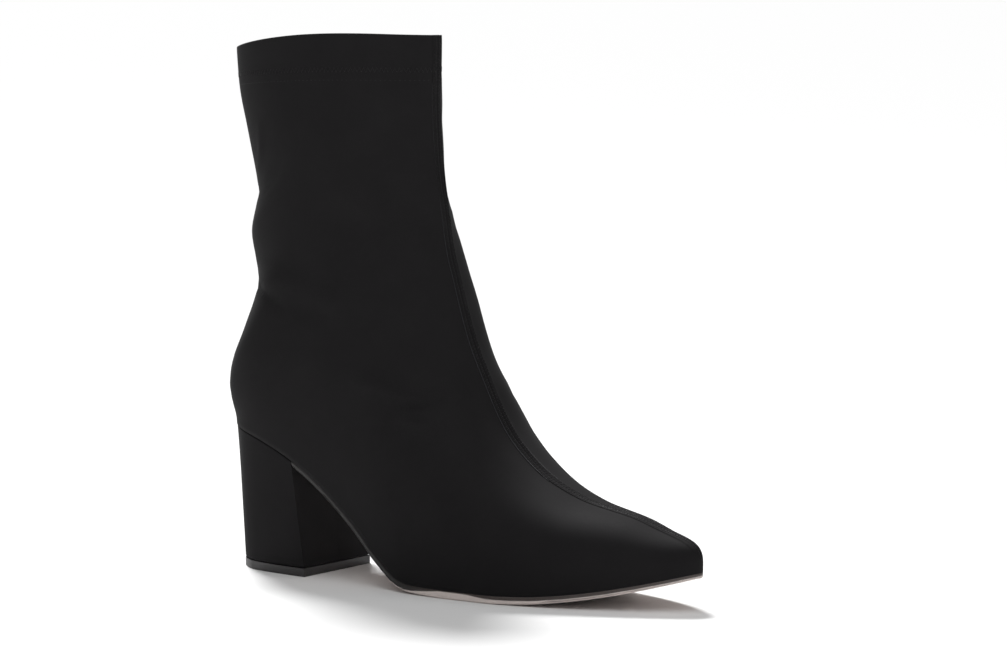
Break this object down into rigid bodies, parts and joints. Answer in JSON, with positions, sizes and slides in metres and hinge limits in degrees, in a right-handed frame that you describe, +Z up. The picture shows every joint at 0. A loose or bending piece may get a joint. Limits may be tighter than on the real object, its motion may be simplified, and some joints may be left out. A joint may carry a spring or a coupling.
{
  "type": "stretch ankle boot",
  "caption": "Pull-on ankle boot with a stretch cloth upper, a pointed toe, a raised front seam, a hemmed collar, a thin outsole and a covered block heel on which it stands.",
  "frame": {"origin": "on the floor, under the middle of the boot's bounding box", "axes": "+X towards the toe, +Y towards the inner (medial) side, +Z up"},
  "size_m": [0.2484, 0.0756, 0.2461],
  "materials": {
    "stretch_cloth": "matte black knit with a faint satin sheen",
    "insole_cloth": "matte black",
    "sole_resin": "smooth pinkish beige with a dark brown painted edge",
    "lift_rubber": "dark grey, half matte"
  },
  "bodies": {
    "root": {"upper": "stretch_cloth", "insole": "insole_cloth", "outsole": "sole_resin", "heel_block": "stretch_cloth", "top_lift": "lift_rubber"}
  },
  "joints": []
}
